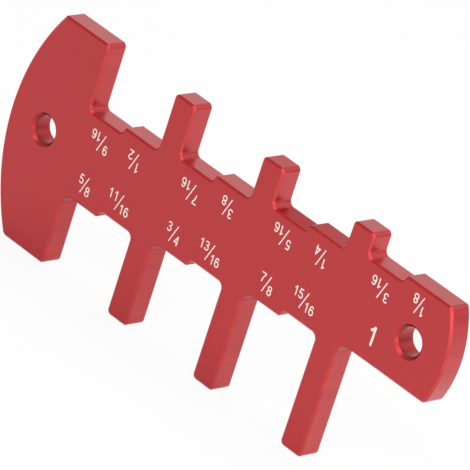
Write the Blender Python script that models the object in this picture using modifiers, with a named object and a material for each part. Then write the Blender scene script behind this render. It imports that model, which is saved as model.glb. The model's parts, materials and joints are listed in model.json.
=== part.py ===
"""Table saw height gauge: one plate of aluminium, milled along both long edges into stepped gaps.

The gauge stands on its feet with +Z up, its length along +X, its numbered face towards -Y, and its
origin under the middle of its feet. Every step is a whole number of sixteenths of an inch from the
line of the tips on its own side: the feet below, the prongs above.
"""
import math

import bmesh
import bpy
from mathutils import Vector

# Sizes are in metres. The plate's own sizes come first, from the stock that it is cut from.
SIXTEENTH = 0.0015875
PLATE_THICKNESS = 0.0052
PLATE_HEIGHT = 0.0487
FACE_CHAMFER = 0.0004

# Lengths along the plate, from the head to the tail
HEAD_WIDTH = 0.0198
GAP_WIDTH = 0.0194
PRONG_WIDTH = 0.0058
TAIL_WIDTH = 0.0247

# The ends are bowed, each about a centre at the height of the hole in that end
HEAD_BOW_RADIUS = 0.0444
TAIL_BOW_RADIUS = 0.024

# Hanging holes, placed from the outermost point of their own end and from the middle of its height
HOLE_DIAMETER = 0.0058
HOLE_CHAMFER = 0.0006
HEAD_HOLE_INSET = 0.0099
HEAD_HOLE_ABOVE_MIDDLE = 0.00055
TAIL_HOLE_INSET = 0.0095
TAIL_HOLE_BELOW_MIDDLE = 0.00116

# The steep riser between two steps, whose crest lies a little past the middle of the gap
RISER_RUN = 0.0007
CREST_PAST_MIDDLE = 0.0003
CREST_RADIUS = 0.0005
FOOT_RADIUS = 0.001

# Corner radii, as the cutter leaves them
TIP_RADIUS = 0.001
ROOT_RADIUS = 0.0013
WIDE_ROOT_RADIUS = 0.0023
HEAD_TOP_RADIUS = 0.0005
HEAD_LOW_RADIUS = 0.0013
TAIL_TOP_RADIUS = 0.0009
TAIL_LOW_RADIUS = 0.0014

# Cutters run past both faces by this much, and points closer than the weld distance are one point
CUT_OVERRUN = 0.001
WELD_DISTANCE = 0.00002

# Counts and angles
GAP_COUNT = 3
FIRST_UPPER_STEP = 9
FIRST_LOWER_STEP = 10
CORNER_FACET = math.radians(15)
BOW_FACET = math.radians(4)
HOLE_FACETS = 40
CHAMFER_ANGLE_LIMIT = math.radians(60)
SMOOTH_ANGLE = math.radians(35)
FLAT_ANGLE = math.radians(0.1)

PITCH = GAP_WIDTH + PRONG_WIDTH
PLATE_LENGTH = HEAD_WIDTH + GAP_COUNT * PITCH + TAIL_WIDTH
HEAD_END = -PLATE_LENGTH / 2
TAIL_END = PLATE_LENGTH / 2
TAIL_TOP = PLATE_HEIGHT - (FIRST_UPPER_STEP - 2 * GAP_COUNT - 1) * SIXTEENTH
TAIL_BOTTOM = (FIRST_LOWER_STEP + 2 * GAP_COUNT) * SIXTEENTH
HEAD_HOLE_HEIGHT = PLATE_HEIGHT / 2 + HEAD_HOLE_ABOVE_MIDDLE
TAIL_HOLE_HEIGHT = (TAIL_TOP + TAIL_BOTTOM) / 2 - TAIL_HOLE_BELOW_MIDDLE

COLLECTION_NAME = "table_saw_height_gauge"
CUTTER_COLLECTION_NAME = "cutters"
ANODISED_RED = (0.479, 0.052, 0.054, 1.0)
ANODISED_ROUGHNESS = 0.38
ANODISED_METALLIC = 0.85


def clear_scene():
    """Remove whatever objects the scene starts with."""
    for thing in list(bpy.data.objects):
        bpy.data.objects.remove(thing, do_unlink=True)


def new_collection(name):
    """A fresh collection under the scene's own."""
    collection = bpy.data.collections.new(name)
    bpy.context.scene.collection.children.link(collection)
    return collection


def anodised_red():
    """Satin red anodised aluminium."""
    material = bpy.data.materials.new("anodised_red")
    material.use_nodes = True
    shader = material.node_tree.nodes["Principled BSDF"]
    shader.inputs["Base Color"].default_value = ANODISED_RED
    shader.inputs["Roughness"].default_value = ANODISED_ROUGHNESS
    shader.inputs["Metallic"].default_value = ANODISED_METALLIC
    return material


def upper_step(count):
    """Height of the step that lies so many sixteenths below the prongs' tips."""
    return PLATE_HEIGHT - count * SIXTEENTH


def lower_step(count):
    """Height of the step that lies so many sixteenths above the feet."""
    return count * SIXTEENTH


def gap_left(index):
    """Where a gap begins, counted from the head; the last one is the open tail notch."""
    return HEAD_END + HEAD_WIDTH + index * PITCH


def upper_edge():
    """Corners of the upper side from the head to the tail, as (x, z, radius)."""
    corners = []
    for index in range(GAP_COUNT + 1):
        left = gap_left(index)
        crest = left + GAP_WIDTH / 2 + CREST_PAST_MIDDLE
        deep = upper_step(FIRST_UPPER_STEP - 2 * index)
        shallow = upper_step(FIRST_UPPER_STEP - 2 * index - 1)
        corners.append((left, PLATE_HEIGHT, TIP_RADIUS))
        corners.append((left, deep, ROOT_RADIUS))
        corners.append((crest - RISER_RUN, deep, FOOT_RADIUS))
        corners.append((crest, shallow, CREST_RADIUS))
        if index < GAP_COUNT:
            right = left + GAP_WIDTH
            corners.append((right, shallow, ROOT_RADIUS))
            corners.append((right, PLATE_HEIGHT, TIP_RADIUS))
    return corners


def lower_edge():
    """Corners of the lower side from the head to the tail, as (x, z, radius)."""
    corners = []
    for index in range(GAP_COUNT):
        left = gap_left(index)
        right = left + GAP_WIDTH
        crest = left + GAP_WIDTH / 2 - CREST_PAST_MIDDLE
        shallow = lower_step(FIRST_LOWER_STEP + 2 * index)
        deep = lower_step(FIRST_LOWER_STEP + 2 * index + 1)
        corners.append((left, 0, TIP_RADIUS))
        corners.append((left, shallow, WIDE_ROOT_RADIUS))
        corners.append((crest, shallow, CREST_RADIUS))
        corners.append((crest + RISER_RUN, deep, FOOT_RADIUS))
        corners.append((right, deep, ROOT_RADIUS))
        corners.append((right, 0, TIP_RADIUS))
    last = gap_left(GAP_COUNT)
    corners.append((last, 0, TIP_RADIUS))
    corners.append((last, TAIL_BOTTOM, WIDE_ROOT_RADIUS))
    return corners


def bow(end, bow_radius, centre_height, low, high, low_radius, high_radius):
    """Corners up a bowed end, with one at its outermost point; only the first and last are rounded."""
    outward = math.copysign(1, end)
    centre = end - outward * bow_radius
    start = math.asin((low - centre_height) / bow_radius)
    stop = math.asin((high - centre_height) / bow_radius)
    low_facets = math.ceil(-start / BOW_FACET)
    high_facets = math.ceil(stop / BOW_FACET)
    angles = [start * (1 - index / low_facets) for index in range(low_facets)]
    angles += [stop * index / high_facets for index in range(high_facets + 1)]
    corners = []
    for angle in angles:
        x = centre + outward * bow_radius * math.cos(angle)
        z = centre_height + bow_radius * math.sin(angle)
        corners.append((x, z, 0))
    corners[0] = corners[0][:2] + (low_radius,)
    corners[-1] = corners[-1][:2] + (high_radius,)
    return corners


def plate_corners():
    """The plate's whole outline: over the top, down the tail, back along the feet, up the head."""
    head = bow(HEAD_END, HEAD_BOW_RADIUS, HEAD_HOLE_HEIGHT, 0, PLATE_HEIGHT,
               HEAD_LOW_RADIUS, HEAD_TOP_RADIUS)
    tail = bow(TAIL_END, TAIL_BOW_RADIUS, TAIL_HOLE_HEIGHT, TAIL_BOTTOM, TAIL_TOP,
               TAIL_LOW_RADIUS, TAIL_TOP_RADIUS)
    return upper_edge() + tail[::-1] + lower_edge()[::-1] + head


def room(corner, neighbour):
    """How far a corner's arc may reach towards its neighbour: half the way if that is rounded too."""
    length = math.dist(corner[:2], neighbour[:2])
    if neighbour[2] == 0:
        return length
    return length / 2


def rounded(corners):
    """The outline's points, each corner turned into an arc of its own radius."""
    points = []
    for index, corner in enumerate(corners):
        before = corners[index - 1]
        after = corners[(index + 1) % len(corners)]
        here = Vector(corner[:2])
        if corner[2] == 0:
            points.append(here)
            continue
        back = (Vector(before[:2]) - here).normalized()
        forth = (Vector(after[:2]) - here).normalized()
        turn = math.pi - back.angle(forth)
        reach = min(corner[2] * math.tan(turn / 2), room(corner, before), room(corner, after))
        radius = reach / math.tan(turn / 2)
        centre = here + (back + forth).normalized() * radius / math.cos(turn / 2)
        first = here + back * reach - centre
        last = here + forth * reach - centre
        facets = math.ceil(turn / CORNER_FACET)
        for step in range(facets + 1):
            points.append(centre + first.slerp(last, step / facets) * radius)
    return points


def plate_blank(collection):
    """The plate's outline as a flat filled curve, as thick as the stock, standing up on its feet."""
    curve = bpy.data.curves.new("gauge_outline", "CURVE")
    curve.dimensions = "2D"
    curve.fill_mode = "BOTH"
    curve.extrude = PLATE_THICKNESS / 2
    points = rounded(plate_corners())
    spline = curve.splines.new("POLY")
    spline.points.add(len(points) - 1)
    for point, place in zip(spline.points, points):
        point.co = (place.x, place.y, 0, 1)
    spline.use_cyclic_u = True
    outline = bpy.data.objects.new("gauge_outline", curve)
    outline.rotation_euler = (math.radians(90), 0, 0)
    collection.objects.link(outline)
    return outline


def solid_from_curve(outline, name, collection):
    """The curve as a closed mesh with one flat face on each side, in the curve's place."""
    bpy.context.view_layer.update()
    evaluated = outline.evaluated_get(bpy.context.evaluated_depsgraph_get())
    mesh = bpy.data.meshes.new_from_object(evaluated)
    mesh.name = name
    shape = bmesh.new()
    shape.from_mesh(mesh)
    bmesh.ops.remove_doubles(shape, verts=shape.verts[:], dist=WELD_DISTANCE)
    bmesh.ops.dissolve_limit(shape, angle_limit=FLAT_ANGLE, verts=shape.verts[:], edges=shape.edges[:])
    bmesh.ops.recalc_face_normals(shape, faces=shape.faces[:])
    shape.to_mesh(mesh)
    shape.free()
    solid = bpy.data.objects.new(name, mesh)
    solid.matrix_world = outline.matrix_world.copy()
    collection.objects.link(solid)
    bpy.data.objects.remove(outline, do_unlink=True)
    return solid


def break_edges(plate):
    """Chamfer every edge where a face of the plate meets its outline."""
    bevel = plate.modifiers.new("face_chamfer", "BEVEL")
    bevel.width = FACE_CHAMFER
    bevel.segments = 1
    bevel.limit_method = "ANGLE"
    bevel.angle_limit = CHAMFER_ANGLE_LIMIT


def hole_cutter(name, x, z, collection):
    """A turned cutter along Y that leaves a round hole with both of its mouths chamfered."""
    radius = HOLE_DIAMETER / 2
    face = PLATE_THICKNESS / 2
    mouth = radius + HOLE_CHAMFER + CUT_OVERRUN
    profile = [(0, face + CUT_OVERRUN), (mouth, face + CUT_OVERRUN), (radius, face - HOLE_CHAMFER),
               (radius, HOLE_CHAMFER - face), (mouth, -face - CUT_OVERRUN), (0, -face - CUT_OVERRUN)]
    mesh = bpy.data.meshes.new(name)
    edges = [(index, index + 1) for index in range(len(profile) - 1)]
    mesh.from_pydata([(across, 0, along) for across, along in profile], edges, [])
    cutter = bpy.data.objects.new(name, mesh)
    cutter.location = (x, 0, z)
    cutter.rotation_euler = (math.radians(90), 0, 0)
    screw = cutter.modifiers.new("turn", "SCREW")
    screw.steps = HOLE_FACETS
    screw.render_steps = HOLE_FACETS
    screw.use_merge_vertices = True
    screw.merge_threshold = WELD_DISTANCE
    cutter.hide_render = True
    cutter.display_type = "WIRE"
    collection.objects.link(cutter)
    return cutter


def drill(plate, cutter):
    """Take a cutter out of the plate."""
    cut = plate.modifiers.new(cutter.name, "BOOLEAN")
    cut.operation = "DIFFERENCE"
    cut.solver = "EXACT"
    cut.object = cutter


def gauge_plate(parts, cutters, material):
    """The gauge itself: outline, chamfered edges and two hanging holes."""
    plate = solid_from_curve(plate_blank(parts), "gauge_plate", parts)
    plate.data.materials.clear()
    plate.data.materials.append(material)
    break_edges(plate)
    drill(plate, hole_cutter("head_hole", HEAD_END + HEAD_HOLE_INSET, HEAD_HOLE_HEIGHT, cutters))
    drill(plate, hole_cutter("tail_hole", TAIL_END - TAIL_HOLE_INSET, TAIL_HOLE_HEIGHT, cutters))
    plate.data.shade_smooth()
    plate.data.set_sharp_from_angle(angle=SMOOTH_ANGLE)
    return plate


def main():
    clear_scene()
    parts = new_collection(COLLECTION_NAME)
    cutters = new_collection(CUTTER_COLLECTION_NAME)
    gauge_plate(parts, cutters, anodised_red())


main()
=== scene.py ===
import json
import math

import bmesh
import bpy
from bpy.props import FloatProperty, FloatVectorProperty, PointerProperty
from mathutils import Matrix, Vector
from mathutils.geometry import delaunay_2d_cdt


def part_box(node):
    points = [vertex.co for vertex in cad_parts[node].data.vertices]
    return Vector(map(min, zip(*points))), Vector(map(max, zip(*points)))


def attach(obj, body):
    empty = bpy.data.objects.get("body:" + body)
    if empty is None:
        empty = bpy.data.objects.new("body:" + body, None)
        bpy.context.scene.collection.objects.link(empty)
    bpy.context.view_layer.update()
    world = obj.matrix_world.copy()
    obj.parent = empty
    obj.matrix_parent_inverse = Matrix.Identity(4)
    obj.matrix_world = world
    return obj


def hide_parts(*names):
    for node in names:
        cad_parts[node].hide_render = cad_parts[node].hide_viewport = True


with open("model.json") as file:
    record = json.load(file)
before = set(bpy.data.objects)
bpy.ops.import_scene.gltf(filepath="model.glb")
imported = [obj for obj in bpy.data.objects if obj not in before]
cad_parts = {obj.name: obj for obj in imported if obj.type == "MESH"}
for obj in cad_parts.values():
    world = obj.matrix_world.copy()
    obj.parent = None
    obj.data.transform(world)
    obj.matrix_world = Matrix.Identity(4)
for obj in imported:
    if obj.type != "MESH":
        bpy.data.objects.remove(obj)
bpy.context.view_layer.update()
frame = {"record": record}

bl_info = {
    "name": "Stepped Height Gauge",
    "version": (1, 0, 0),
    "blender": (4, 5, 0),
    "location": "3D View > Sidebar > Gauge",
    "description": "Dresses a stepped height gauge: the milled plate, its white marks and a plain studio",
    "category": "Object",
}

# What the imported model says
PLATE_NODE = "gauge_plate"
BODY = "root"
PLATE_LOW, PLATE_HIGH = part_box(PLATE_NODE)
THICKNESS = PLATE_HIGH.y - PLATE_LOW.y
HOLE_NAMES = ("head_hole", "tail_hole")

# Units
INCH = 0.0254
MM = 0.001
SIXTEENTH = INCH / 16

# Fineness of the plate's mesh
ARC_FACET = math.radians(6)
LONGEST_CHORD = 0.8 * MM
SECTION_STEPS = 3
HALF_MITRE = math.radians(22.5)
MERGE_DISTANCE = 0.0002 * MM

# Fineness of the marks: facet in degrees, least cosine at a mitre, and how near two points are the same
GLYPH_FACET = 9
NARROWEST_MITRE = 0.35
UNION_TOLERANCE = 1e-5

# The steps, in sixteenths of an inch: the deepest along the top and the lowest along the feet
GAP_COUNT = 3
FIRST_UPPER_STEP = 9
FIRST_LOWER_STEP = 10

# Painted shade with dimmed reflection on walls, from 0 to 1, with places along a gap as shares of its width
HOLLOW_SLANT = 0.1
LEVEL_NORMAL = 0.99
ROOT_END = 0.3
RISER_END = 0.8
GAP_MIDDLE = 0.5
SHADED_GAP = 2
ROOT_SHADE = 0.5
RISER_SHADE = 1.0
DEEP_FLOOR_SHADE = 1.0
SHALLOW_FLOOR_SHADE = 0.8
TIP_SHADE = 0.4

# Where the fractions stand, in millimetres: from the head's outermost point to the middle of the
# slanted line, from the feet up to the same point, and from that point across to the upper number
UPPER_FRACTIONS = (
    ("9", "16", 25.19, 30.05, 0.84),
    ("1", "2", 34.45, 31.05, 0.90),
    ("7", "16", 50.36, 32.99, 0.85),
    ("3", "8", 59.96, 35.00, 0.54),
    ("5", "16", 75.28, 36.92, 0.83),
    ("1", "4", 85.03, 38.00, 0.82),
    ("3", "16", 101.02, 39.92, 0.83),
    ("1", "8", 110.24, 41.94, 0.79),
)
LOWER_FRACTIONS = (
    ("5", "8", 24.27, 20.25, 0.53),
    ("11", "16", 34.00, 21.73, 0.91),
    ("3", "4", 49.40, 23.35, 0.86),
    ("13", "16", 59.32, 24.70, 0.58),
    ("7", "8", 74.78, 26.49, 0.64),
    ("15", "16", 84.50, 28.40, 0.56),
)
GLYPHS = "123456789/"

# The large digit of the inch step: its left edge and foot in the same way, and its size in small digits
INCH_DIGIT = ("1", 101.50, 28.88, 1.94)

# The Mix node's sockets for colour, by number, because those of its other kinds have the same names
FIRST_COLOUR = 6
SECOND_COLOUR = 7
MIXED_COLOUR = 2

# The studio
FLOOR_NAME = "studio_floor"
SENSOR_WIDTH = 36
CLIP_RANGE = (0.05, 50)

# The lamps: name, azimuth and elevation in degrees, distance and side in metres, power in watts
LAMPS = (
    ("top_lamp", 200, 75, 1.2, 0.7, 4.33),
    ("front_lamp", 10, 52, 1.2, 0.6, 2.16),
    ("near_lamp", 45, 40, 0.35, 0.2, 0.123),
    ("low_lamp", 50, 12, 0.45, 0.16, 0.155),
    ("side_lamp", 92, 22, 0.7, 0.42, 2.30),
    ("rim_lamp", 150, 35, 0.7, 0.4, 0.273),
    ("back_lamp", 225, 25, 1.2, 0.7, 0.39),
)


def opening_centre(name):
    """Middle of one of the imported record's openings."""
    for opening in frame["record"]["physics"]["openings"]:
        if opening["name"] == name:
            low, high = opening["box_m"]
            return (Vector(low) + Vector(high)) / 2
    raise RuntimeError(f"the record has no opening named {name}")


# Settings that a user would change

def length(name, description, default, precision=5):
    """A length in metres."""
    return FloatProperty(
        name=name, description=description, default=default, unit="LENGTH", precision=precision)


def angle(name, description, degrees):
    """An angle, whose default is given in degrees."""
    return FloatProperty(
        name=name, description=description, default=math.radians(degrees), unit="ROTATION")


def colour(name, description, default):
    """A colour in linear light."""
    return FloatVectorProperty(
        name=name, description=description, default=default, size=3, min=0, max=1, subtype="COLOR")


class PlateSizes(bpy.types.PropertyGroup):
    """Sizes of the milled plate that its overall box doesn't give."""
    head_width: length("Head width", "From the bowed end to the first gap", 19.8 * MM)
    gap_width: length("Gap width", "Clear width between two prongs or legs", 19.4 * MM)
    prong_width: length("Prong width", "Width of each prong and leg", 5.8 * MM)
    head_bow: length("Head bow", "Radius of the head's bowed end", 44.4 * MM)
    tail_bow: length("Tail bow", "Radius of the tail's bowed end", 24.0 * MM)
    hole_diameter: length("Hole", "Diameter of the hanging holes", 5.8 * MM)
    hole_chamfer: length("Hole chamfer", "Chamfer round each hole's mouths", 0.6 * MM)
    face_chamfer: length("Face chamfer", "Chamfer along the outline of both faces", 0.4 * MM)
    edge_softness: length(
        "Edge softness", "Radius that blasting and anodising leave on every chamfer's edges", 0.12 * MM)
    riser_run: length("Riser run", "Length of the steep slope between two steps", 0.7 * MM)
    crest_past_middle: length(
        "Crest past middle", "How far a riser's crest lies past the middle of its gap", 0.3 * MM)
    hollow_run: length(
        "Hollow run", "Length of a lower riser, before the large cutter hollows it", 0.9 * MM)
    tip_radius: length("Tip radius", "Corners of the prongs and legs", 1.0 * MM)
    root_radius: length("Root radius", "Inner corners left by the small cutter", 1.3 * MM)
    wide_root_radius: length("Wide root radius", "Inner corners left by the large cutter", 2.3 * MM)
    foot_radius: length("Riser foot radius", "Hollow at the foot of each riser", 1.0 * MM)
    crest_radius: length("Riser crest radius", "Crest of each riser", 0.5 * MM)
    head_top_radius: length("Head top radius", "Corner where the head's bow meets its top", 0.5 * MM)
    head_low_radius: length("Head low radius", "Corner where the head's bow meets its foot", 1.3 * MM)
    tail_top_radius: length("Tail top radius", "Upper corner of the tail's bow", 0.9 * MM)
    tail_low_radius: length("Tail low radius", "Lower corner of the tail's bow", 1.4 * MM)


class MarkSizes(bpy.types.PropertyGroup):
    """Sizes of the white fractions, whose digits are drawn as even strokes."""
    digit_height: length("Digit height", "Height of a fraction's digits", 2.06 * MM)
    digit_width: length("Digit width", "Width of a fraction's wide digits", 1.2 * MM)
    one_width: length("Digit one width", "Width of a fraction's digit one", 0.67 * MM)
    stroke: length("Stroke", "Width of a digit's strokes", 0.27 * MM)
    digit_pitch: length("Digit pitch", "From one digit to the next in the same number", 1.48 * MM)
    one_pitch: length("Digit one pitch", "From a digit one to the next digit", 1.19 * MM)
    one_inset: length(
        "Digit one inset", "Extra room before a lower number that starts with a one", 0.07 * MM)
    numerator_base: length(
        "Upper digit base", "Foot of the upper number, from the slanted line's middle", -0.17 * MM)
    denominator_base: length(
        "Lower digit base", "Foot of the lower number, from the slanted line's middle", -1.95 * MM)
    slash_height: length("Slash height", "From the foot to the head of the slanted line", 3.85 * MM)
    slash_run: length("Slash run", "How far the slanted line leans", 1.38 * MM)
    slash_stroke: length("Slash stroke", "Width of the slanted line", 0.24 * MM)
    denominator_gap: length(
        "Lower digit gap", "From the slanted line's middle to the digits under it", 0.55 * MM)
    ink_height: length("Ink height", "How far the marks stand proud of the face", 0.012 * MM, 6)
    ink_depth: length("Ink depth", "How far the marks reach into the face", 0.02 * MM, 6)


class Finish(bpy.types.PropertyGroup):
    """Colours and gloss of the plate and its marks, with the colour of a painted highlight on chamfers
    facing the tail.
    """
    red: colour("Anodised red", "Colour of the dyed metal", (0.530, 0.0236, 0.0270))
    # A painted highlight: chamfers facing the tail are mixed towards this paler red, standing in for the
    # film's reflection of the lamps
    tail_highlight_red: colour(
        "Pale red", "Colour that the dyed metal nears on chamfers towards the tail", (0.520, 0.0500, 0.0540))
    roughness: FloatProperty(
        name="Roughness", description="Roughness of the dyed metal",
        default=0.42, min=0, max=1, subtype="FACTOR")
    film_roughness: FloatProperty(
        name="Film roughness", description="Roughness of the clear oxide over the dye",
        default=0.3, min=0, max=1, subtype="FACTOR")
    film_ior: FloatProperty(
        name="Film IOR", description="Refractive index of the clear oxide", default=1.42, min=1, max=3)
    white: colour("Mark white", "Colour of the marks", (0.98, 0.87, 0.81))


class Studio(bpy.types.PropertyGroup):
    """Camera, lamps and floor."""
    azimuth: angle("Camera azimuth", "Round the gauge from the front, towards the tail", 38.538)
    elevation: angle("Camera elevation", "Above the horizon", 23.881)
    roll: angle("Camera roll", "Lean of the picture's upright", -18.136)
    distance: length("Camera distance", "From the numbered face along the view", 1.0103)
    target: FloatVectorProperty(
        name="Camera target", description="Point at the picture's middle",
        default=(0.003782, -0.0026, 0.031083), size=3, subtype="XYZ", unit="LENGTH")
    lens: FloatProperty(name="Lens", description="Focal length in millimetres", default=407.2, min=1)
    floor_size: length("Floor size", "Side of the square floor", 14.0)
    world_strength: FloatProperty(
        name="Room light", description="Strength of the light from all round", default=0.435, min=0)


# Outline of the plate, clockwise as the numbered face shows it, in (x, z)

def arc(centre, radius, start, stop):
    """Points of an arc and their outward normals, between two angles of the normal.

    A hollow's radius is negative.
    """
    swept = stop - start
    count = max(math.ceil(abs(swept) / ARC_FACET), math.ceil(abs(radius * swept) / LONGEST_CHORD), 1)
    points = []
    for index in range(count + 1):
        turn = start + swept * index / count
        normal = Vector((math.cos(turn), math.sin(turn)))
        points.append((centre + normal * radius, normal))
    return points


def rounded_run(chain):
    """Points and normals along a chain of (x, z, radius) corners, without its two ends."""
    points = []
    for before, corner, after in zip(chain, chain[1:], chain[2:]):
        here = Vector(corner[:2])
        along = (here - Vector(before[:2])).normalized()
        onward = (Vector(after[:2]) - here).normalized()
        start = math.atan2(along.x, -along.y)
        swept = math.atan2(along.x * onward.y - along.y * onward.x, along.dot(onward))
        radius = -math.copysign(corner[2], swept)
        reach = corner[2] * math.tan(abs(swept) / 2)
        normal = Vector((-along.y, along.x))
        centre = here - along * reach - normal * radius
        points += arc(centre, radius, start, start + swept)
    return points


def bowed_end(centre, radius, side, first, first_radius, last, last_radius):
    """A bowed end with a fillet at both corners, from height first to height last; side is 1 or -1."""
    corners = []
    for height, fillet, upwards in ((first, first_radius, side), (last, last_radius, -side)):
        z = height - upwards * fillet
        reach = math.sqrt((radius - fillet) ** 2 - (z - centre.y) ** 2)
        corners.append(Vector((centre.x + side * reach, z)))
    turns = []
    for corner in corners:
        direction = corner - centre
        turns.append(math.atan2(direction.y, side * direction.x))
    if side > 0:
        angles = (math.pi / 2, turns[0], turns[1], -math.pi / 2)
    else:
        angles = (-math.pi / 2, -math.pi - turns[0], -math.pi - turns[1], -3 * math.pi / 2)
    points = arc(corners[0], first_radius, angles[0], angles[1])
    points += arc(centre, radius, angles[1], angles[2])[1:]
    points += arc(corners[1], last_radius, angles[2], angles[3])[1:]
    return points


def plate_outline(sizes):
    """The stepped outline: over the top, round the tail, back along the feet and up the head."""
    top = PLATE_HIGH.z
    feet = PLATE_LOW.z
    head_hole, tail_hole = [opening_centre(name) for name in HOLE_NAMES]
    tail_top = top - (FIRST_UPPER_STEP - 2 * GAP_COUNT - 1) * SIXTEENTH
    tail_low = feet + (FIRST_LOWER_STEP + 2 * GAP_COUNT) * SIXTEENTH
    upper = [(PLATE_LOW.x, top, 0)]
    lower = [(PLATE_LOW.x, feet, 0)]
    for index in range(GAP_COUNT + 1):
        left = PLATE_LOW.x + sizes.head_width + index * (sizes.gap_width + sizes.prong_width)
        right = left + sizes.gap_width
        deep = top - (FIRST_UPPER_STEP - 2 * index) * SIXTEENTH
        crest = left + sizes.gap_width / 2 + sizes.crest_past_middle
        upper += [(left, top, sizes.tip_radius), (left, deep, sizes.root_radius),
                  (crest - sizes.riser_run, deep, sizes.foot_radius),
                  (crest, deep + SIXTEENTH, sizes.crest_radius)]
        low = feet + (FIRST_LOWER_STEP + 2 * index) * SIXTEENTH
        crest = left + sizes.gap_width / 2 - sizes.crest_past_middle
        lower += [(left, feet, sizes.tip_radius), (left, low, sizes.wide_root_radius)]
        if index < GAP_COUNT:
            upper += [(right, deep + SIXTEENTH, sizes.root_radius), (right, top, sizes.tip_radius)]
            lower += [(crest, low, sizes.crest_radius),
                      (crest + sizes.hollow_run, low + SIXTEENTH, sizes.wide_root_radius),
                      (right, low + SIXTEENTH, sizes.root_radius), (right, feet, sizes.tip_radius)]
    upper.append((PLATE_HIGH.x, tail_top, 0))
    lower.append((PLATE_HIGH.x, tail_low, 0))
    tail_centre = Vector((PLATE_HIGH.x - sizes.tail_bow, tail_hole.z))
    head_centre = Vector((PLATE_LOW.x + sizes.head_bow, head_hole.z))
    points = rounded_run(upper)
    points += bowed_end(tail_centre, sizes.tail_bow, 1, tail_top, sizes.tail_top_radius,
                        tail_low, sizes.tail_low_radius)
    points += rounded_run(lower[::-1])
    points += bowed_end(head_centre, sizes.head_bow, -1, feet, sizes.head_low_radius,
                        top, sizes.head_top_radius)
    return points


def painted_shade_at(point, normal, sizes):
    """How much painted shade, with dimmed reflection, the wall takes at a point of the outline.

    The large cutter's hollows, told by the slant of their normals, take the most, with the floors
    of one upper gap. The tip of the prong before that gap takes less.
    """
    gap, place = divmod(point.x - PLATE_LOW.x - sizes.head_width, sizes.gap_width + sizes.prong_width)
    share = place / sizes.gap_width
    if normal.x > HOLLOW_SLANT and normal.y < -HOLLOW_SLANT and share < RISER_END:
        return RISER_SHADE if share > ROOT_END else ROOT_SHADE
    if normal.y > LEVEL_NORMAL:
        if gap == SHADED_GAP and share < 1:
            return DEEP_FLOOR_SHADE if share < GAP_MIDDLE else SHALLOW_FLOOR_SHADE
        if gap == SHADED_GAP - 1 and share > 1:
            return TIP_SHADE
    return 0.0


def hole_outline(name, radius):
    """A hanging hole's edge, whose outward normals point at its middle."""
    centre = opening_centre(name)
    return arc(Vector((centre.x, centre.z)), -radius, 0, 2 * math.pi)[:-1]


def edge_section(thickness, chamfer, softness):
    """Half of the wall's cross-section, from the middle to the face: (inset, height, normal's angle)."""
    lead = softness * math.tan(HALF_MITRE)
    points = []
    for inset, height, start in ((softness, thickness / 2 - chamfer - lead, 0),
                                 (chamfer + lead, thickness / 2 - softness, 2 * HALF_MITRE)):
        for index in range(SECTION_STEPS + 1):
            turn = start + 2 * HALF_MITRE * index / SECTION_STEPS
            points.append((inset - softness * math.cos(turn), height + softness * math.sin(turn), turn))
    return points


# Helpers for meshes and node trees

def link_mesh(mesh, name):
    """A new object for a mesh, in the scene's own collection."""
    thing = bpy.data.objects.new(name, mesh)
    bpy.context.scene.collection.objects.link(thing)
    return thing


def store_points(mesh, name, kind, values):
    """Write one value for each point of a mesh under a name."""
    attribute = mesh.attributes.new(name, kind, "POINT")
    key = "vector" if kind == "FLOAT_VECTOR" else "value"
    flat = [number for value in values for number in value] if kind == "FLOAT_VECTOR" else list(values)
    attribute.data.foreach_set(key, flat)


def remove_object(thing):
    """Take a working object and its mesh out of the file."""
    mesh = thing.data
    bpy.data.objects.remove(thing, do_unlink=True)
    if mesh.users == 0:
        bpy.data.meshes.remove(mesh)


def evaluated_mesh(thing, name):
    """A plain mesh of what an object's modifiers make."""
    bpy.context.view_layer.update()
    depsgraph = bpy.context.evaluated_depsgraph_get()
    mesh = bpy.data.meshes.new_from_object(thing.evaluated_get(depsgraph))
    mesh.name = name
    return mesh


class Socket:
    """A node's output that takes part in arithmetic; every operation adds one node."""

    def __init__(self, builder, socket):
        self.builder = builder
        self.socket = socket

    def maths(self, operation, *others, swap=False):
        operands = [self, *others]
        if swap:
            operands.reverse()
        return self.builder.add("ShaderNodeMath", {"operation": operation}, dict(enumerate(operands)))

    def __add__(self, other):
        return self.maths("ADD", other)

    __radd__ = __add__

    def __mul__(self, other):
        return self.maths("MULTIPLY", other)

    __rmul__ = __mul__

    def __sub__(self, other):
        return self.maths("SUBTRACT", other)

    def __rsub__(self, other):
        return self.maths("SUBTRACT", other, swap=True)

    def clamped(self):
        """The value held between 0 and 1."""
        return self.builder.add("ShaderNodeClamp", {}, {"Value": self})

    def above(self, limit):
        """1 where the value is greater than the limit, and 0 elsewhere."""
        return self.maths("GREATER_THAN", limit)


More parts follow.
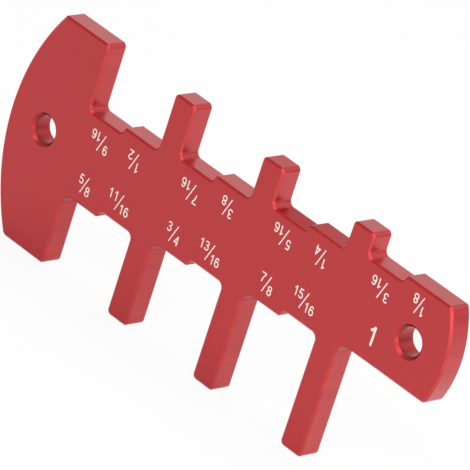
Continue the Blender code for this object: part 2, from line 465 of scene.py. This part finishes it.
class TreeBuilder:
    """Adds nodes to a shader or geometry tree."""

    def __init__(self, tree):
        self.tree = tree

    def add(self, kind, settings=None, inputs=None, output=0):
        """A node of one kind: its settings are set first, then its sockets take values or links.

        A list of links goes to a socket that takes several.
        """
        node = self.tree.nodes.new(kind)
        for key, value in (settings or {}).items():
            setattr(node, key, value)
        for key, value in (inputs or {}).items():
            links = value if isinstance(value, list) else [value]
            for link in links:
                if isinstance(link, Socket):
                    self.tree.links.new(link.socket, node.inputs[key])
                else:
                    node.inputs[key].default_value = link
        return Socket(self, node.outputs[output]) if node.outputs else None

    def mix(self, factor, first, second):
        """Blend two colours, on the Mix node's own sockets for colour."""
        sockets = {"Factor": factor, FIRST_COLOUR: first, SECOND_COLOUR: second}
        return self.add("ShaderNodeMix", {"data_type": "RGBA"}, sockets, MIXED_COLOUR)

    def scaled(self, vector, factor):
        """A vector or colour times a number."""
        return self.add("ShaderNodeVectorMath", {"operation": "SCALE"}, {0: vector, "Scale": factor})

    def noise(self, place, scale, detail):
        """Noise about a half, over a place on the surface."""
        return self.add("ShaderNodeTexNoise", {}, {"Vector": place, "Scale": scale, "Detail": detail}, "Fac")

    def named(self, name, kind="FLOAT"):
        """A mesh's attribute, in a geometry tree."""
        return self.add("GeometryNodeInputNamedAttribute", {"data_type": kind}, {"Name": name})

    def carried(self, name, output="Fac"):
        """A mesh's attribute, in a material."""
        return self.add("ShaderNodeAttribute", {"attribute_name": name}, output=output)


def new_shader(name):
    """A material with an empty tree; returns it with its builder."""
    material = bpy.data.materials.new(name)
    material.use_nodes = True
    material.node_tree.nodes.clear()
    return material, TreeBuilder(material.node_tree)


def new_geometry_tree(name, inputs):
    """A geometry tree with named inputs; returns it, its builder and a function that reads an input."""
    tree = bpy.data.node_groups.new(name, "GeometryNodeTree")
    tree.interface.new_socket("Geometry", in_out="INPUT", socket_type="NodeSocketGeometry")
    tree.interface.new_socket("Geometry", in_out="OUTPUT", socket_type="NodeSocketGeometry")
    for socket_name, kind in inputs:
        tree.interface.new_socket(socket_name, in_out="INPUT", socket_type=kind)
    builder = TreeBuilder(tree)

    def read(socket_name):
        return builder.add("NodeGroupInput", output=socket_name)

    return tree, builder, read


def run_tree(thing, tree, values, name):
    """Put a geometry tree on an object, give its inputs their values and return the plain mesh it makes."""
    modifier = thing.modifiers.new(tree.name, "NODES")
    modifier.node_group = tree
    for item in tree.interface.items_tree:
        if item.in_out == "INPUT" and item.name in values:
            modifier[item.identifier] = values[item.name]
    mesh = evaluated_mesh(thing, name)
    thing.modifiers.remove(modifier)
    return mesh


# Materials

# Patterns: waves per metre and the noise's detail
CLOUD = (60.0, 3.0)
MOTTLE = (380.0, 2.0)
GRAIN = (4800.0, 2.0)
CHIPS = (1500.0, 4.0)
PASS_LINES = (3600.0, 2.0)
WAVES = (420.0, 2.0)
INK_SPECK = (9000.0, 3.0)
INK_PATCH = (900.0, 2.0)
FLOOR_SPECKLE = (40.0, 3.0)

# What each trait of the plate's surface, and each painted shade and highlight, adds to the dye's tone, its
# roughness and the film over it
TONE_SHARES = {"cloud": 0.08, "mottle": 0.08, "grain": 0.16, "wall": 0.30, "chamfer": 0.12, "edge": 0.06,
               "worn": 0.25, "bore_shade": -0.18, "dull": -0.15, "tail_highlight": -0.03, "tail_top_shade": -0.15}
ROUGHNESS_SHARES = {"cloud": 0.08, "grain": 0.08, "milled": -0.05, "wall": 0.20, "worn": -0.06}
FILM_SHARES = {"bore_shade": -0.35, "dull": -1.0, "top_chamfer_shade": -0.5}
TAIL_HIGHLIGHT_SHARE = 0.4
CHIP_CONTRAST = 5.0

# The plate's relief: grain and waves in heights of the pass lines, and the grain that milling removes
GRAIN_HEIGHT = 1.6
WAVE_HEIGHT = 3.0
GRAIN_MILLED_AWAY = 0.7
PLATE_BUMP = {"Strength": 0.5, "Distance": 0.001 * MM}

# The marks and the floor: how uneven their tone and roughness are
INK_SPECK_TONE = 0.10
INK_PATCH_TONE = 0.06
INK_ROUGHNESS = 0.6
INK_SPECK_ROUGHNESS = 0.2
INK_BUMP = {"Strength": 0.4, "Distance": 0.002 * MM}
FLOOR_GREY = (0.9, 0.9, 0.9, 1)
FLOOR_ROUGHNESS = 0.8
FLOOR_SPECKLE_ROUGHNESS = 0.1

# How white the background looks to the camera and in gloss, beyond the light that it gives
CAMERA_SEES_ROOM = 1.0
CAMERA_SEES_FLOOR = 0.9
GLOSS_SEES = 0.3


def anodised_red(finish):
    """Satin red anodised aluminium: dyed metal under a clear film, with blasted faces and milled walls."""
    material, nodes = new_shader("anodised_red")
    place = nodes.add("ShaderNodeTexCoord", output="Object")
    outward = nodes.carried("outward", "Vector")

    def feed(scale, detail):
        """Noise along the way that a cutter went."""
        sockets = {"W": nodes.carried("run"), "Scale": scale, "Detail": detail}
        return nodes.add("ShaderNodeTexNoise", {"noise_dimensions": "1D"}, sockets, "Fac")

    def facing(axis):
        """How far the outline's normal points along an axis, from 0 to 1."""
        return nodes.add("ShaderNodeSeparateXYZ", {}, {"Vector": outward}, axis).clamped()

    def blend(start, shares):
        """A value with its share of each trait added."""
        for name, share in shares.items():
            start = start + traits[name] * share
        return start

    milled, edge, chamfer, hole = [nodes.carried(name) for name in ("milled", "edge", "chamfer", "hole")]
    grain = nodes.noise(place, *GRAIN)
    waves = feed(*WAVES)
    # Masks for painted light by the chamfers' facing: a painted highlight towards the tail, painted shade
    # facing up
    tail_highlight = facing("X") * chamfer
    upward = facing("Z") * chamfer
    traits = {
        "cloud": nodes.noise(place, *CLOUD) - 0.5,
        "mottle": nodes.noise(place, *MOTTLE) - 0.5,
        "grain": grain - 0.5,
        "wall": milled * (waves - 0.5),
        "milled": milled,
        "chamfer": chamfer,
        # painted highlight: the tone of every chamfer is lifted
        "edge": edge,
        "worn": edge * ((nodes.noise(place, *CHIPS) - 0.5) * CHIP_CONTRAST).clamped(),
        # painted shade: the holes' bores darker, with less of the film's reflection
        "bore_shade": hole * milled,
        # painted shade: a darker tone and no film reflection on the shaded hollows and gap floors
        "dull": nodes.carried("dull") * (milled - chamfer).clamped(),
        # painted highlight on chamfers facing the tail; painted shade and less film reflection on upward
        # chamfers
        "tail_highlight": tail_highlight,
        "tail_top_shade": tail_highlight * upward,
        "top_chamfer_shade": upward * (1.0 - hole),
    }
    # The dye nears a paler red on chamfers facing the tail: a painted highlight
    dye = nodes.mix(tail_highlight * TAIL_HIGHLIGHT_SHARE, (*finish.red, 1.0), (*finish.tail_highlight_red, 1.0))
    red = nodes.scaled(dye, blend(1.0, TONE_SHARES))
    rough = blend(finish.roughness, ROUGHNESS_SHARES)
    film = blend(1.0, FILM_SHARES)
    # Grain stands out on the blasted faces, and the cutter's passes and waves on the milled walls
    relief = (grain * (1.0 - milled * GRAIN_MILLED_AWAY) * GRAIN_HEIGHT
              + (feed(*PASS_LINES) + waves * WAVE_HEIGHT) * milled)
    bump = nodes.add("ShaderNodeBump", {}, {"Height": relief, **PLATE_BUMP})
    shader = nodes.add("ShaderNodeBsdfPrincipled", {}, {
        "Base Color": red, "Roughness": rough, "Normal": bump, "Metallic": 1.0, "Coat Weight": film,
        "Coat Roughness": finish.film_roughness, "Coat IOR": finish.film_ior})
    nodes.add("ShaderNodeOutputMaterial", {}, {"Surface": shader})
    return material


def mark_white(finish):
    """The marks' white: matt, a little uneven, as etched into the dyed film."""
    material, nodes = new_shader("mark_white")
    place = nodes.add("ShaderNodeTexCoord", output="Object")
    speck = nodes.noise(place, *INK_SPECK)
    patch = nodes.noise(place, *INK_PATCH)
    tone = 1.0 + (speck - 0.5) * INK_SPECK_TONE + (patch - 0.5) * INK_PATCH_TONE
    white = nodes.scaled(finish.white, tone)
    rough = INK_ROUGHNESS + (speck - 0.5) * INK_SPECK_ROUGHNESS
    bump = nodes.add("ShaderNodeBump", {}, {"Height": speck, **INK_BUMP})
    shader = nodes.add("ShaderNodeBsdfPrincipled", {}, {
        "Base Color": white, "Roughness": rough, "Normal": bump})
    nodes.add("ShaderNodeOutputMaterial", {}, {"Surface": shader})
    return material


def seen_white(nodes, camera_share):
    """How far a ray sees the background as plain white: the camera's share, or the lower one of gloss."""
    camera, glossy, transmission = [nodes.add("ShaderNodeLightPath", output=f"Is {kind} Ray")
                                    for kind in ("Camera", "Glossy", "Transmission")]
    return camera * camera_share + (glossy + transmission).clamped() * GLOSS_SEES


def room_world(strength):
    """Even light from all round; the camera sees white, and gloss sees the room brighter than it lights."""
    world = bpy.data.worlds.new("room")
    world.use_nodes = True
    world.node_tree.nodes.clear()
    nodes = TreeBuilder(world.node_tree)
    level = strength + seen_white(nodes, CAMERA_SEES_ROOM) * (1.0 - strength)
    background = nodes.add("ShaderNodeBackground", {}, {"Color": (1, 1, 1, 1), "Strength": level})
    nodes.add("ShaderNodeOutputWorld", {}, {"Surface": background})
    return world


def floor_white():
    """A floor that the camera sees as nearly white, and that keeps a little of the gauge's shadow."""
    material, nodes = new_shader("floor_white")
    place = nodes.add("ShaderNodeTexCoord", output="Object")
    rough = FLOOR_ROUGHNESS + (nodes.noise(place, *FLOOR_SPECKLE) - 0.5) * FLOOR_SPECKLE_ROUGHNESS
    matt = nodes.add("ShaderNodeBsdfPrincipled", {}, {
        "Base Color": FLOOR_GREY, "Roughness": rough, "Specular IOR Level": 0.0})
    glow = nodes.add("ShaderNodeEmission", {}, {"Color": (1, 1, 1, 1), "Strength": 1.0})
    mixed = nodes.add("ShaderNodeMixShader", {}, {0: seen_white(nodes, CAMERA_SEES_FLOOR), 1: matt, 2: glow})
    nodes.add("ShaderNodeOutputMaterial", {}, {"Surface": mixed})
    return material


# The plate

def section_object(name, thickness, chamfer, softness):
    """A wall's whole cross-section as a line of edges, from the back face to the numbered face."""
    half = edge_section(thickness, chamfer, softness)
    whole = [(inset, -height, -turn) for inset, height, turn in half[::-1]] + half
    insets, heights, turns = zip(*whole)
    mesh = bpy.data.meshes.new(name)
    edges = [(index, index + 1) for index in range(len(whole) - 1)]
    mesh.from_pydata([(-inset, height, 0) for inset, height in zip(insets, heights)], edges, [])
    store_points(mesh, "out", "FLOAT", [math.cos(turn) for turn in turns])
    store_points(mesh, "up", "FLOAT", [math.sin(turn) for turn in turns])
    store_points(mesh, "milled", "FLOAT", [float(inset < chamfer) for inset in insets])
    # A chamfer's normal is turned by 45 degrees, and those of its two edges by 22.5 and 67.5
    store_points(mesh, "edge", "FLOAT", [abs(math.sin(4 * turn)) for turn in turns])
    store_points(mesh, "chamfer", "FLOAT", [math.sin(2 * turn) ** 2 for turn in turns])
    return link_mesh(mesh, name)


def outline_object(sizes):
    """The outline and both holes as loops of edges, with their normals, run and the faces' inset."""
    lead = sizes.edge_softness * math.tan(HALF_MITRE)
    loops = [(plate_outline(sizes), 0.0, sizes.face_chamfer + lead)]
    for name in HOLE_NAMES:
        loops.append((hole_outline(name, sizes.hole_diameter / 2), 1.0, sizes.hole_chamfer + lead))
    rows, edges = [], []
    for loop, is_hole, inset in loops:
        first = len(rows)
        run = 0.0
        for index, (point, normal) in enumerate(loop):
            if index > 0:
                run += (point - loop[index - 1][0]).length
            dull = 0.0 if is_hole else painted_shade_at(point, normal, sizes)
            rows.append(((point.x, 0, point.y), (normal.x, 0, normal.y), run, is_hole, inset, dull))
            edges.append((first + index, first + (index + 1) % len(loop)))
    places, normals, *values = zip(*rows)
    mesh = bpy.data.meshes.new("plate_lines")
    mesh.from_pydata(places, edges, [])
    store_points(mesh, "outward", "FLOAT_VECTOR", normals)
    for name, column in zip(("run", "hole", "inset", "dull"), values):
        store_points(mesh, name, "FLOAT", column)
    return link_mesh(mesh, "plate_lines")


def plate_tree():
    """Sweeps a wall's section along each loop, fills both faces and sets exact normals."""
    tree, nodes, read = new_geometry_tree("milled_plate", [
        ("Outline Section", "NodeSocketObject"), ("Hole Section", "NodeSocketObject"),
        ("Thickness", "NodeSocketFloat"), ("Merge", "NodeSocketFloat"), ("Material", "NodeSocketMaterial")])
    outward = nodes.named("outward", "FLOAT_VECTOR")
    is_hole = nodes.named("hole").above(0.5)
    walls = []
    for part, section in (("Inverted", "Outline Section"), ("Selection", "Hole Section")):
        lines = nodes.add("GeometryNodeSeparateGeometry", {"domain": "POINT"},
                          {"Geometry": read("Geometry"), "Selection": is_hole}, part)
        rail = nodes.add("GeometryNodeMeshToCurve", {}, {"Mesh": lines})
        rail = nodes.add("GeometryNodeSetCurveNormal", {"mode": "FREE"}, {"Curve": rail, "Normal": outward})
        shape = nodes.add("GeometryNodeObjectInfo", {}, {"Object": read(section)}, "Geometry")
        shape = nodes.add("GeometryNodeMeshToCurve", {}, {"Mesh": shape})
        walls.append(nodes.add("GeometryNodeCurveToMesh", {}, {"Curve": rail, "Profile Curve": shape}))

    rim = nodes.add("GeometryNodeSetPosition", {}, {
        "Geometry": nodes.add("GeometryNodeMeshToCurve", {}, {"Mesh": read("Geometry")}),
        "Offset": nodes.scaled(outward, nodes.named("inset") * -1.0)})
    laid = nodes.add("GeometryNodeTransform", {}, {"Geometry": rim, "Rotation": (-math.pi / 2, 0, 0)})
    filled = nodes.add("GeometryNodeFillCurve", {"mode": "NGONS"}, {"Curve": laid})
    faces = []
    for side in (1.0, -1.0):
        stood = nodes.add("GeometryNodeTransform", {}, {
            "Geometry": filled, "Rotation": (math.pi / 2, 0, 0),
            "Translation": nodes.add("ShaderNodeCombineXYZ", {}, {"Y": read("Thickness") * (-side / 2)})})
        if side < 0:
            stood = nodes.add("GeometryNodeFlipFaces", {}, {"Mesh": stood})
        faces.append(nodes.add("GeometryNodeStoreNamedAttribute", {"data_type": "FLOAT", "domain": "POINT"},
                               {"Geometry": stood, "Name": "up", "Value": side}))

    joined = nodes.add("GeometryNodeJoinGeometry", {}, {"Geometry": faces + walls})
    merged = nodes.add("GeometryNodeMergeByDistance", {}, {"Geometry": joined, "Distance": read("Merge")})
    smooth = nodes.add("GeometryNodeSetShadeSmooth", {}, {"Geometry": merged})
    normal = nodes.add("ShaderNodeVectorMath", {"operation": "ADD"}, {
        0: nodes.scaled(outward, nodes.named("out")), 1: nodes.scaled((0, -1, 0), nodes.named("up"))})
    finished = nodes.add("GeometryNodeSetMeshNormal", {"mode": "FREE", "domain": "POINT"},
                         {"Mesh": smooth, "Custom Normal": normal})
    real = nodes.add("GeometryNodeRealizeInstances", {}, {"Geometry": finished})
    painted = nodes.add("GeometryNodeSetMaterial", {}, {"Geometry": real, "Material": read("Material")})
    nodes.add("NodeGroupOutput", {}, {"Geometry": painted})
    return tree


class GAUGE_OT_plate(bpy.types.Operator):
    """Make the milled plate, as fine as the real one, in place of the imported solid"""
    bl_idname = "gauge.plate"
    bl_label = "Milled plate"

    def execute(self, context):
        sizes = context.scene.gauge_plate
        lines = outline_object(sizes)
        sections = []
        for name, chamfer in (("outline_section", sizes.face_chamfer), ("hole_section", sizes.hole_chamfer)):
            sections.append(section_object(name, THICKNESS, chamfer, sizes.edge_softness))
        mesh = run_tree(lines, plate_tree(), {
            "Outline Section": sections[0], "Hole Section": sections[1], "Thickness": THICKNESS,
            "Merge": MERGE_DISTANCE, "Material": anodised_red(context.scene.gauge_finish)}, "milled_plate")
        for working in [lines, *sections]:
            remove_object(working)
        plate = link_mesh(mesh, "milled_plate")
        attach(plate, BODY)
        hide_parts(PLATE_NODE)
        return {"FINISHED"}


# The marks

def curve(centre, radii, start, stop):
    """Points of an ellipse's arc, between two angles in degrees."""
    count = max(math.ceil(abs(stop - start) / GLYPH_FACET), 2)
    points = []
    for index in range(count + 1):
        turn = math.radians(start + (stop - start) * index / count)
        points.append((centre[0] + radii[0] * math.cos(turn), centre[1] + radii[1] * math.sin(turn)))
    return points


def turned_about(lines, centre):
    """The same lines, turned half way round a point."""
    return [[(2 * centre[0] - x, 2 * centre[1] - y) for x, y in line] for line in lines]


def digit_lines(digit, width, stroke):
    """Middle lines of a digit's strokes, for a digit one unit high whose ink starts at x = 0.

    The bare numbers are shares of the digit's height or width, and angles in degrees.
    """
    half = stroke / 2
    left, right, middle = half, width - half, width / 2
    top, base, waist = 1 - half, half, 0.545
    reach = middle - half
    high, high_rise = (waist + top) / 2, (top - waist) / 2
    low, low_rise = (waist + base) / 2, (waist - base) / 2
    big_rise = 0.5 - half
    bowl_top = 0.645 - half
    bowl, bowl_rise = (bowl_top + base) / 2, (bowl_top - base) / 2
    six = [curve((middle, bowl), (reach, bowl_rise), 0, 360),
           [(left, bowl), (left, 0.5), *curve((middle, 0.5), (reach, big_rise), 180, 38)[1:]]]
    shapes = {
        "1": [[(right, 0), (right, 1)],
              [(right - 0.01, 0.955), (right - 0.06, 0.865), (right - 0.135, 0.79), (half * 0.3, 0.725)]],
        "2": [[*curve((middle, 0.72), (reach, top - 0.72), 168, -28), (middle, 0.40), (left + 0.03, base)],
              [(0, base), (width, base)]],
        "3": [curve((middle - 0.01, high), (reach * 0.92, high_rise), 160, -90),
              curve((middle, low), (reach, low_rise), 90, -163),
              [(width * 0.36, waist), (middle, waist)]],
        "4": [[(width * 0.74, 0), (width * 0.74, 1)], [(0, 0.30), (width, 0.30)],
              [(width * 0.74, top), (left, 0.30)]],
        "5": [[(right, top), (width * 0.27, top), (width * 0.15, 0.50)],
              [(width * 0.15, 0.50), *curve((middle - 0.005, bowl), (reach, bowl_rise), 118, -163)]],
        "6": six,
        "7": [[(0, top), (right, top), *curve((width * 1.30, 0), (width * 0.93, 0.86), 118, 180)]],
        "8": [curve((middle, high), (reach * 0.9, high_rise), 0, 360),
              curve((middle, low), (reach, low_rise), 0, 360)],
        "9": turned_about(six, (middle, 0.5)),
    }
    return shapes[digit]


def ribbon(line, stroke):
    """Four-cornered pieces of a stroke of even width along a line, mitred where they meet."""
    points = [Vector(point) for point in line]
    closed = (points[0] - points[-1]).length < UNION_TOLERANCE
    if closed:
        points.pop()
    count = len(points)
    sides = []
    for index, point in enumerate(points):
        before = points[index - 1] if index > 0 or closed else point
        after = points[(index + 1) % count] if index < count - 1 or closed else point
        coming = (point - before) if before != point else (after - point)
        going = (after - point) if after != point else coming
        coming, going = coming.normalized(), going.normalized()
        mitre = (coming + going).normalized()
        across = Vector((-mitre.y, mitre.x))
        width = stroke / 2 / max(mitre.dot(coming), NARROWEST_MITRE)
        sides.append((point + across * width, point - across * width))
    pieces = []
    for index in range(count if closed else count - 1):
        first, second = sides[index], sides[(index + 1) % count]
        pieces.append((first[1], second[1], second[0], first[0]))
    return pieces


def joined_slab(pieces, low, high):
    """A closed slab whose outline is that of all the flat pieces together."""
    corners = [corner for piece in pieces for corner in piece]
    rings = []
    first = 0
    for piece in pieces:
        rings.append(list(range(first, first + len(piece))))
        first += len(piece)
    points, _, triangles, _, _, owners = delaunay_2d_cdt(corners, [], rings, 0, UNION_TOLERANCE)
    shape = bmesh.new()
    ends = []
    for height in (low, high):
        ends.append([shape.verts.new((point.x, point.y, height)) for point in points])
    # An edge that no other triangle takes the other way round lies on the slab's border
    borders = {}
    for triangle, owner in zip(triangles, owners):
        if not owner:
            continue
        shape.faces.new([ends[1][corner] for corner in triangle])
        shape.faces.new([ends[0][corner] for corner in triangle[::-1]])
        for start, stop in zip(triangle, [*triangle[1:], triangle[0]]):
            if (stop, start) in borders:
                del borders[(stop, start)]
            else:
                borders[(start, stop)] = True
    for start, stop in borders:
        shape.faces.new((ends[0][start], ends[0][stop], ends[1][stop], ends[1][start]))
    loose = [vert for vert in shape.verts if not vert.link_faces]
    bmesh.ops.delete(shape, geom=loose, context="VERTS")
    return shape


def glyph_mesh(glyph, sizes):
    """One digit or the slanted line as a thin slab, with its face towards +Z."""
    name = "glyph_slash" if glyph == "/" else f"glyph_{glyph}"
    if glyph == "/":
        reach = Vector((sizes.slash_run / 2, sizes.slash_height / 2))
        side = sizes.slash_stroke / 2 * reach.length / reach.y
        pieces = [((-reach.x - side, -reach.y), (-reach.x + side, -reach.y),
                   (reach.x + side, reach.y), (reach.x - side, reach.y))]
        pieces = [[Vector(corner) for corner in piece] for piece in pieces]
    else:
        width = sizes.one_width if glyph == "1" else sizes.digit_width
        pieces = []
        for line in digit_lines(glyph, width / sizes.digit_height, sizes.stroke / sizes.digit_height):
            pieces += ribbon(line, sizes.stroke / sizes.digit_height)
        pieces = [[corner * sizes.digit_height for corner in piece] for piece in pieces]
    # The union is worked out in millimetres, where its tolerance is well under a stroke
    pieces = [[corner / MM for corner in piece] for piece in pieces]
    shape = joined_slab(pieces, -sizes.ink_depth / MM, sizes.ink_height / MM)
    bmesh.ops.scale(shape, vec=(MM, MM, MM), verts=shape.verts)
    mesh = bpy.data.meshes.new(name)
    shape.to_mesh(mesh)
    shape.free()
    return bpy.data.objects.new(name, mesh)


def digit_step(number, index, sizes):
    """From one digit of a number to the next: less after a one, unless another one follows."""
    if number[index] == "1" and number[index + 1] != "1":
        return sizes.one_pitch
    return sizes.digit_pitch


def number_width(number, sizes):
    """Width of a number's ink."""
    width = sizes.one_width if number[-1] == "1" else sizes.digit_width
    for index in range(len(number) - 1):
        width += digit_step(number, index, sizes)
    return width


def number_glyphs(number, start, base, sizes):
    """The digits of a number with their places, from its left edge."""
    placed = [(number[0], start, base)]
    for index, digit in enumerate(number[1:]):
        start += digit_step(number, index, sizes)
        placed.append((digit, start, base))
    return placed


def fraction_glyphs(numerator, denominator, gap, sizes):
    """The glyphs of a fraction with their places about the middle of its slanted line."""
    placed = [("/", 0.0, 0.0)]
    start = -gap * MM - number_width(numerator, sizes)
    placed += number_glyphs(numerator, start, sizes.numerator_base, sizes)
    start = sizes.denominator_gap + (sizes.one_inset if denominator[0] == "1" else 0.0)
    placed += number_glyphs(denominator, start, sizes.denominator_base, sizes)
    return placed


def row_of_marks(fractions, turn, sizes):
    """The glyphs of a row of fractions as (glyph, x, z, turn, size); half a circle's turn is upside down."""
    way = math.cos(turn)
    placed = []
    for numerator, denominator, x, z, gap in fractions:
        for glyph, right, up in fraction_glyphs(numerator, denominator, gap, sizes):
            placed.append((glyph, PLATE_LOW.x + x * MM + way * right, PLATE_LOW.z + z * MM + way * up,
                           turn, 1.0))
    return placed


def marks_tree():
    """Puts the right glyph on every point, turned and sized as the point says."""
    tree, nodes, read = new_geometry_tree("scale_marks", [
        ("Glyphs", "NodeSocketCollection"), ("Material", "NodeSocketMaterial")])
    glyphs = nodes.add("GeometryNodeCollectionInfo", {},
                       {"Collection": read("Glyphs"), "Separate Children": True, "Reset Children": True})
    turned = nodes.add("ShaderNodeCombineXYZ", {}, {"X": math.pi / 2, "Y": nodes.named("turn")})
    placed = nodes.add("GeometryNodeInstanceOnPoints", {}, {
        "Points": read("Geometry"), "Instance": glyphs, "Pick Instance": True,
        "Instance Index": nodes.named("glyph", "INT"), "Rotation": turned,
        "Scale": nodes.named("size", "FLOAT_VECTOR")})
    real = nodes.add("GeometryNodeRealizeInstances", {}, {"Geometry": placed})
    painted = nodes.add("GeometryNodeSetMaterial", {}, {"Geometry": real, "Material": read("Material")})
    nodes.add("NodeGroupOutput", {}, {"Geometry": painted})
    return tree


def marks_object(name, placed, glyph_objects, material):
    """One piece for a row of marks; each is (glyph, x, z, turn, size)."""
    glyphs, xs, zs, turns, scales = zip(*placed)
    # Collection Info gives a collection's objects in the order of their names
    order = sorted(range(len(GLYPHS)), key=lambda index: glyph_objects[index].name)
    mesh = bpy.data.meshes.new(f"{name}_points")
    mesh.from_pydata([(x, PLATE_LOW.y, z) for x, z in zip(xs, zs)], [], [])
    store_points(mesh, "glyph", "INT", [order.index(GLYPHS.index(glyph)) for glyph in glyphs])
    store_points(mesh, "turn", "FLOAT", turns)
    store_points(mesh, "size", "FLOAT_VECTOR", [(scale, scale, 1) for scale in scales])
    points = link_mesh(mesh, f"{name}_points")
    collection = bpy.data.collections.new("glyphs")
    for thing in glyph_objects:
        collection.objects.link(thing)
    result = run_tree(points, marks_tree(), {"Glyphs": collection, "Material": material}, name)
    bpy.data.collections.remove(collection)
    remove_object(points)
    return link_mesh(result, name)


class GAUGE_OT_marks(bpy.types.Operator):
    """Make the white fractions and the large digit on the numbered face"""
    bl_idname = "gauge.marks"
    bl_label = "Scale marks"

    def execute(self, context):
        sizes = context.scene.gauge_marks
        upper = row_of_marks(UPPER_FRACTIONS, math.pi, sizes)
        lower = row_of_marks(LOWER_FRACTIONS, 0.0, sizes)
        digit, x, z, size = INCH_DIGIT
        lower.append((digit, PLATE_LOW.x + x * MM, PLATE_LOW.z + z * MM, 0.0, size))
        material = mark_white(context.scene.gauge_finish)
        glyph_objects = [glyph_mesh(glyph, sizes) for glyph in GLYPHS]
        for name, placed in (("upper_scale_marks", upper), ("lower_scale_marks", lower)):
            piece = marks_object(name, placed, glyph_objects, material)
            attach(piece, BODY)
        for thing in glyph_objects:
            remove_object(thing)
        return {"FINISHED"}


# The studio

def towards(azimuth, elevation):
    """Direction from the gauge to a place round the front, towards the tail, and above the horizon."""
    return Vector((math.sin(azimuth) * math.cos(elevation), -math.cos(azimuth) * math.cos(elevation),
                   math.sin(elevation)))


def studio_camera(studio):
    """The camera at its place, with its roll."""
    data = bpy.data.cameras.new("camera")
    data.lens = studio.lens
    data.sensor_width = SENSOR_WIDTH
    data.clip_start, data.clip_end = CLIP_RANGE
    camera = bpy.data.objects.new("camera", data)
    back = towards(studio.azimuth, studio.elevation)
    turned = (-back).to_track_quat("-Z", "Y").to_matrix() @ Matrix.Rotation(-studio.roll, 3, "Z")
    place = Vector(studio.target) + back * studio.distance
    camera.matrix_world = Matrix.LocRotScale(place, turned.to_quaternion(), None)
    bpy.context.scene.collection.objects.link(camera)
    return camera


def softbox(name, azimuth, elevation, distance, size, power):
    """A square lamp that looks at the gauge from a direction given as for the camera."""
    data = bpy.data.lights.new(name, "AREA")
    data.shape = "SQUARE"
    data.size = size
    data.energy = power
    lamp = bpy.data.objects.new(name, data)
    back = towards(math.radians(azimuth), math.radians(elevation))
    lamp.location = back * distance
    lamp.visible_camera = False
    lamp.rotation_euler = (-back).to_track_quat("-Z", "Y").to_euler()
    bpy.context.scene.collection.objects.link(lamp)


def square_mesh(side, name):
    """A flat square on the ground."""
    mesh = bpy.data.meshes.new(name)
    shape = bmesh.new()
    bmesh.ops.create_grid(shape, x_segments=1, y_segments=1, size=side / 2)
    shape.to_mesh(mesh)
    shape.free()
    return mesh


class GAUGE_OT_stage(bpy.types.Operator):
    """Set up the pale floor, the soft lamps, the room light and the camera"""
    bl_idname = "gauge.stage"
    bl_label = "Studio"

    def execute(self, context):
        scene = context.scene
        studio = scene.gauge_studio
        floor_mesh = square_mesh(studio.floor_size, FLOOR_NAME)
        floor_mesh.materials.append(floor_white())
        link_mesh(floor_mesh, FLOOR_NAME)
        scene.world = room_world(studio.world_strength)
        for lamp in LAMPS:
            softbox(*lamp)
        scene.camera = studio_camera(studio)
        scene.view_settings.view_transform = "Standard"
        return {"FINISHED"}


class GAUGE_PT_panel(bpy.types.Panel):
    """Lists the gauge's operators and settings"""
    bl_label = "Height gauge"
    bl_idname = "GAUGE_PT_panel"
    bl_space_type = "VIEW_3D"
    bl_region_type = "UI"
    bl_category = "Gauge"

    def draw(self, context):
        layout = self.layout
        for operator in OPERATORS:
            layout.operator(operator.bl_idname)
        for name in SETTINGS:
            group = getattr(context.scene, name)
            box = layout.box()
            for key in group.__annotations__:
                box.prop(group, key)


SETTINGS = {"gauge_plate": PlateSizes, "gauge_marks": MarkSizes, "gauge_finish": Finish,
            "gauge_studio": Studio}
OPERATORS = (GAUGE_OT_plate, GAUGE_OT_marks, GAUGE_OT_stage)


def register():
    for cls in (*SETTINGS.values(), *OPERATORS, GAUGE_PT_panel):
        bpy.utils.register_class(cls)
    for name, group in SETTINGS.items():
        setattr(bpy.types.Scene, name, PointerProperty(type=group))


def unregister():
    for name in SETTINGS:
        delattr(bpy.types.Scene, name)
    for cls in (GAUGE_PT_panel, *OPERATORS[::-1], *list(SETTINGS.values())[::-1]):
        bpy.utils.unregister_class(cls)


def main():
    register()
    bpy.ops.gauge.plate()
    bpy.ops.gauge.marks()
    bpy.ops.gauge.stage()


if __name__ == "__main__":
    main()
